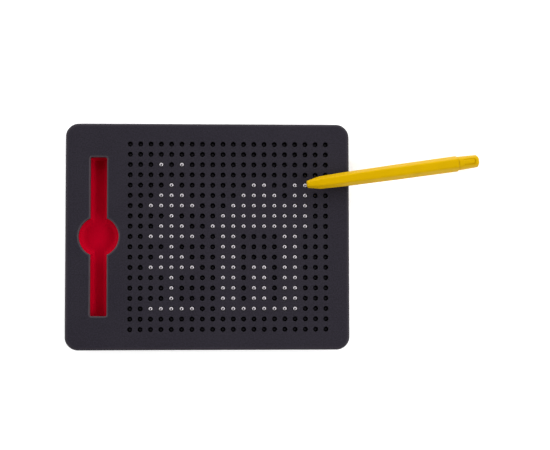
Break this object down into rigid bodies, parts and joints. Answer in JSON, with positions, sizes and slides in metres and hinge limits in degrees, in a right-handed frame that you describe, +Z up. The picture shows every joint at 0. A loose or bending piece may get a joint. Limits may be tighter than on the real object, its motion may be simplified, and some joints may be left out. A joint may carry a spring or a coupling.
{
  "type": "magnetic bead drawing board",
  "caption": "Flat dark drawing board with a grid of small holes, a steel bead under each, a red tray for the stylus, and a tapered yellow magnetic stylus leaning on its rim.",
  "frame": {"origin": "middle of the board's flat underside", "axes": "+X across the board towards the stylus end, with the stylus tray at -X; +Y away from the user; +Z up out of the drawing face"},
  "size_m": [0.2846, 0.154, 0.0244],
  "materials": {
    "charcoal_shell": "fine moulded texture, satin",
    "black_tray": "matte",
    "red_tray": "smooth moulded",
    "yellow_stylus": "smooth moulded, satin",
    "bead": "polished steel",
    "screw": "zinc plated",
    "magnet": "nickel plated"
  },
  "bodies": {
    "board": {"top_cover": "charcoal_shell", "bottom_cover": "charcoal_shell", "bead_tray": "black_tray", "stylus_tray": "red_tray", "case_screw_1": "screw", "case_screw_2": "screw", "case_screw_3": "screw", "case_screw_4": "screw", "case_screw_5": "screw", "case_screw_6": "screw", "case_screw_7": "screw", "case_screw_8": "screw"},
    "stylus": {"stylus_barrel": "yellow_stylus", "stylus_magnet": "magnet", "stylus_end_plug": "yellow_stylus"},
    "bead_row05_col01": {"bead_row05_col01": "bead"},
    "bead_row05_col02": {"bead_row05_col02": "bead"},
    "bead_row05_col03": {"bead_row05_col03": "bead"},
    "bead_row05_col04": {"bead_row05_col04": "bead"},
    "bead_row05_col05": {"bead_row05_col05": "bead"},
    "bead_row05_col06": {"bead_row05_col06": "bead"},
    "bead_row05_col07": {"bead_row05_col07": "bead"},
    "bead_row05_col08": {"bead_row05_col08": "bead"},
    "bead_row05_col09": {"bead_row05_col09": "bead"},
    "bead_row05_col10": {"bead_row05_col10": "bead"},
    "bead_row05_col11": {"bead_row05_col11": "bead"},
    "bead_row05_col12": {"bead_row05_col12": "bead"},
    "bead_row05_col13": {"bead_row05_col13": "bead"},
    "bead_row05_col14": {"bead_row05_col14": "bead"},
    "bead_row05_col15": {"bead_row05_col15": "bead"},
    "bead_row05_col16": {"bead_row05_col16": "bead"},
    "bead_row05_col17": {"bead_row05_col17": "bead"},
    "bead_row05_col18": {"bead_row05_col18": "bead"},
    "bead_row05_col19": {"bead_row05_col19": "bead"},
    "bead_row05_col20": {"bead_row05_col20": "bead"},
    "bead_row06_col01": {"bead_row06_col01": "bead"},
    "bead_row06_col02": {"bead_row06_col02": "bead"},
    "bead_row06_col03": {"bead_row06_col03": "bead"},
    "bead_row06_col04": {"bead_row06_col04": "bead"},
    "bead_row06_col05": {"bead_row06_col05": "bead"},
    "bead_row06_col06": {"bead_row06_col06": "bead"},
    "bead_row06_col07": {"bead_row06_col07": "bead"},
    "bead_row06_col08": {"bead_row06_col08": "bead"},
    "bead_row06_col09": {"bead_row06_col09": "bead"},
    "bead_row06_col10": {"bead_row06_col10": "bead"},
    "bead_row06_col11": {"bead_row06_col11": "bead"},
    "bead_row06_col12": {"bead_row06_col12": "bead"},
    "bead_row06_col13": {"bead_row06_col13": "bead"},
    "bead_row06_col14": {"bead_row06_col14": "bead"},
    "bead_row06_col15": {"bead_row06_col15": "bead"},
    "bead_row06_col16": {"bead_row06_col16": "bead"},
    "bead_row06_col17": {"bead_row06_col17": "bead"},
    "bead_row06_col18": {"bead_row06_col18": "bead"},
    "bead_row06_col19": {"bead_row06_col19": "bead"},
    "bead_row06_col20": {"bead_row06_col20": "bead"}
  },
  "joints": [
    {"name": "stylus_lift", "type": "slide", "parent": "board", "child": "stylus", "axis": [0, 0, 1], "range_m": [0, 0.06]},
    {"name": "bead_row05_col01_slide", "type": "slide", "parent": "board", "child": "bead_row05_col01", "axis": [0, 0, 1], "range_m": [0, 0.0029]},
    {"name": "bead_row05_col02_slide", "type": "slide", "parent": "board", "child": "bead_row05_col02", "axis": [0, 0, 1], "range_m": [0, 0.0029]},
    {"name": "bead_row05_col03_slide", "type": "slide", "parent": "board", "child": "bead_row05_col03", "axis": [0, 0, 1], "range_m": [0, 0.0029]},
    {"name": "bead_row05_col04_slide", "type": "slide", "parent": "board", "child": "bead_row05_col04", "axis": [0, 0, 1], "range_m": [0, 0.0029]},
    {"name": "bead_row05_col05_slide", "type": "slide", "parent": "board", "child": "bead_row05_col05", "axis": [0, 0, 1], "range_m": [-0.0029, 0]},
    {"name": "bead_row05_col06_slide", "type": "slide", "parent": "board", "child": "bead_row05_col06", "axis": [0, 0, 1], "range_m": [0, 0.0029]},
    {"name": "bead_row05_col07_slide", "type": "slide", "parent": "board", "child": "bead_row05_col07", "axis": [0, 0, 1], "range_m": [0, 0.0029]},
    {"name": "bead_row05_col08_slide", "type": "slide", "parent": "board", "child": "bead_row05_col08", "axis": [0, 0, 1], "range_m": [0, 0.0029]},
    {"name": "bead_row05_col09_slide", "type": "slide", "parent": "board", "child": "bead_row05_col09", "axis": [0, 0, 1], "range_m": [0, 0.0029]},
    {"name": "bead_row05_col10_slide", "type": "slide", "parent": "board", "child": "bead_row05_col10", "axis": [0, 0, 1], "range_m": [0, 0.0029]},
    {"name": "bead_row05_col11_slide", "type": "slide", "parent": "board", "child": "bead_row05_col11", "axis": [0, 0, 1], "range_m": [0, 0.0029]},
    {"name": "bead_row05_col12_slide", "type": "slide", "parent": "board", "child": "bead_row05_col12", "axis": [0, 0, 1], "range_m": [0, 0.0029]},
    {"name": "bead_row05_col13_slide", "type": "slide", "parent": "board", "child": "bead_row05_col13", "axis": [0, 0, 1], "range_m": [-0.0029, 0]},
    {"name": "bead_row05_col14_slide", "type": "slide", "parent": "board", "child": "bead_row05_col14", "axis": [0, 0, 1], "range_m": [-0.0029, 0]},
    {"name": "bead_row05_col15_slide", "type": "slide", "parent": "board", "child": "bead_row05_col15", "axis": [0, 0, 1], "range_m": [0, 0.0029]},
    {"name": "bead_row05_col16_slide", "type": "slide", "parent": "board", "child": "bead_row05_col16", "axis": [0, 0, 1], "range_m": [0, 0.0029]},
    {"name": "bead_row05_col17_slide", "type": "slide", "parent": "board", "child": "bead_row05_col17", "axis": [0, 0, 1], "range_m": [-0.0029, 0]},
    {"name": "bead_row05_col18_slide", "type": "slide", "parent": "board", "child": "bead_row05_col18", "axis": [0, 0, 1], "range_m": [-0.0029, 0]},
    {"name": "bead_row05_col19_slide", "type": "slide", "parent": "board", "child": "bead_row05_col19", "axis": [0, 0, 1], "range_m": [0, 0.0029]},
    {"name": "bead_row05_col20_slide", "type": "slide", "parent": "board", "child": "bead_row05_col20", "axis": [0, 0, 1], "range_m": [0, 0.0029]},
    {"name": "bead_row06_col01_slide", "type": "slide", "parent": "board", "child": "bead_row06_col01", "axis": [0, 0, 1], "range_m": [0, 0.0029]},
    {"name": "bead_row06_col02_slide", "type": "slide", "parent": "board", "child": "bead_row06_col02", "axis": [0, 0, 1], "range_m": [0, 0.0029]},
    {"name": "bead_row06_col03_slide", "type": "slide", "parent": "board", "child": "bead_row06_col03", "axis": [0, 0, 1], "range_m": [0, 0.0029]},
    {"name": "bead_row06_col04_slide", "type": "slide", "parent": "board", "child": "bead_row06_col04", "axis": [0, 0, 1], "range_m": [-0.0029, 0]},
    {"name": "bead_row06_col05_slide", "type": "slide", "parent": "board", "child": "bead_row06_col05", "axis": [0, 0, 1], "range_m": [-0.0029, 0]},
    {"name": "bead_row06_col06_slide", "type": "slide", "parent": "board", "child": "bead_row06_col06", "axis": [0, 0, 1], "range_m": [-0.0029, 0]},
    {"name": "bead_row06_col07_slide", "type": "slide", "parent": "board", "child": "bead_row06_col07", "axis": [0, 0, 1], "range_m": [0, 0.0029]},
    {"name": "bead_row06_col08_slide", "type": "slide", "parent": "board", "child": "bead_row06_col08", "axis": [0, 0, 1], "range_m": [0, 0.0029]},
    {"name": "bead_row06_col09_slide", "type": "slide", "parent": "board", "child": "bead_row06_col09", "axis": [0, 0, 1], "range_m": [0, 0.0029]},
    {"name": "bead_row06_col10_slide", "type": "slide", "parent": "board", "child": "bead_row06_col10", "axis": [0, 0, 1], "range_m": [0, 0.0029]},
    {"name": "bead_row06_col11_slide", "type": "slide", "parent": "board", "child": "bead_row06_col11", "axis": [0, 0, 1], "range_m": [0, 0.0029]},
    {"name": "bead_row06_col12_slide", "type": "slide", "parent": "board", "child": "bead_row06_col12", "axis": [0, 0, 1], "range_m": [-0.0029, 0]},
    {"name": "bead_row06_col13_slide", "type": "slide", "parent": "board", "child": "bead_row06_col13", "axis": [0, 0, 1], "range_m": [-0.0029, 0]},
    {"name": "bead_row06_col14_slide", "type": "slide", "parent": "board", "child": "bead_row06_col14", "axis": [0, 0, 1], "range_m": [-0.0029, 0]},
    {"name": "bead_row06_col15_slide", "type": "slide", "parent": "board", "child": "bead_row06_col15", "axis": [0, 0, 1], "range_m": [-0.0029, 0]},
    {"name": "bead_row06_col16_slide", "type": "slide", "parent": "board", "child": "bead_row06_col16", "axis": [0, 0, 1], "range_m": [0, 0.0029]},
    {"name": "bead_row06_col17_slide", "type": "slide", "parent": "board", "child": "bead_row06_col17", "axis": [0, 0, 1], "range_m": [-0.0029, 0]},
    {"name": "bead_row06_col18_slide", "type": "slide", "parent": "board", "child": "bead_row06_col18", "axis": [0, 0, 1], "range_m": [-0.0029, 0]},
    {"name": "bead_row06_col19_slide", "type": "slide", "parent": "board", "child": "bead_row06_col19", "axis": [0, 0, 1], "range_m": [0, 0.0029]},
    {"name": "bead_row06_col20_slide", "type": "slide", "parent": "board", "child": "bead_row06_col20", "axis": [0, 0, 1], "range_m": [0, 0.0029]}
  ]
}
